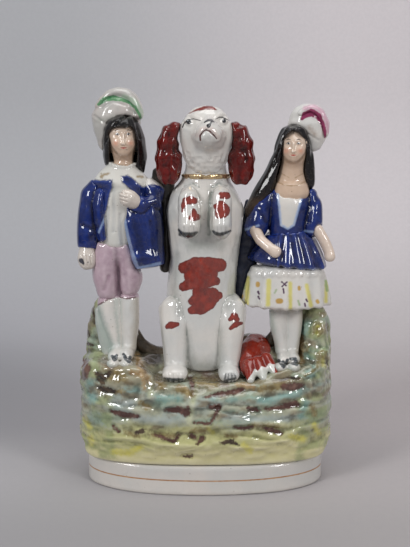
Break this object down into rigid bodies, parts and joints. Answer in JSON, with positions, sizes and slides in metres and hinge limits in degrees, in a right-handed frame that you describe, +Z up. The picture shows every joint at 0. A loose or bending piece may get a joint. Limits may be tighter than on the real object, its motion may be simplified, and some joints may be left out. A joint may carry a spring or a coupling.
{
  "type": "porcelain figure group",
  "caption": "Flat-backed glazed pottery mantel group: a begging spaniel between a boy and a girl on a rocky mound over an oval plinth, hollow inside.",
  "frame": {"origin": "middle of the footprint, on the surface that the plinth stands on", "axes": "+Z up, the painted front faces -Y and the flat back +Y, +X to the viewer's right"},
  "size_m": [0.156, 0.0688, 0.24],
  "materials": {
    "white_glaze": "bluish-white lead glaze, very glossy",
    "cream_glaze": "cream tinted glaze, very glossy",
    "flesh_glaze": "pale flesh tint under a glossy glaze",
    "black_glaze": "black enamel, glossy",
    "cobalt_glaze": "cobalt blue under a glossy glaze",
    "pink_glaze": "thin pink-lilac wash, glossy",
    "red_enamel": "iron red enamel, glossy",
    "crimson_enamel": "crimson enamel, glossy",
    "rock_glaze": "green, turquoise and brown washes, glossy",
    "gilt_band": "worn gilding, soft sheen",
    "biscuit": "unglazed cream clay, matt"
  },
  "bodies": {
    "root": {"plinth": "white_glaze", "base_slab": "biscuit", "rockwork": "rock_glaze", "dog_body": "white_glaze", "dog_head": "white_glaze", "dog_collar": "gilt_band", "dog_left_ear": "red_enamel", "dog_right_ear": "red_enamel", "dog_left_foreleg": "white_glaze", "dog_right_foreleg": "white_glaze", "dog_left_hind_leg": "white_glaze", "dog_right_hind_leg": "white_glaze", "dog_tail": "red_enamel", "boy_shirt": "cream_glaze", "boy_head": "flesh_glaze", "boy_collar": "white_glaze", "boy_hair": "black_glaze", "boy_hat": "cream_glaze", "boy_plume": "cream_glaze", "boy_right_hand": "white_glaze", "boy_left_hand": "white_glaze", "boy_left_sleeve": "cobalt_glaze", "boy_right_sleeve": "cobalt_glaze", "boy_coat": "cobalt_glaze", "boy_coat_front": "cobalt_glaze", "boy_breeches": "pink_glaze", "boy_left_leg": "white_glaze", "boy_right_leg": "white_glaze", "left_rock_stump": "rock_glaze", "girl_head": "flesh_glaze", "girl_hair": "black_glaze", "girl_hat": "white_glaze", "girl_plume": "crimson_enamel", "girl_left_forearm": "flesh_glaze", "girl_right_forearm": "flesh_glaze", "girl_bodice": "cobalt_glaze", "girl_left_sleeve": "cobalt_glaze", "girl_right_sleeve": "cobalt_glaze", "girl_peplum": "cobalt_glaze", "girl_skirt": "white_glaze", "girl_left_leg": "white_glaze", "girl_right_leg": "white_glaze", "right_rock_bush": "rock_glaze", "left_web": "black_glaze", "right_web": "black_glaze"}
  },
  "joints": []
}
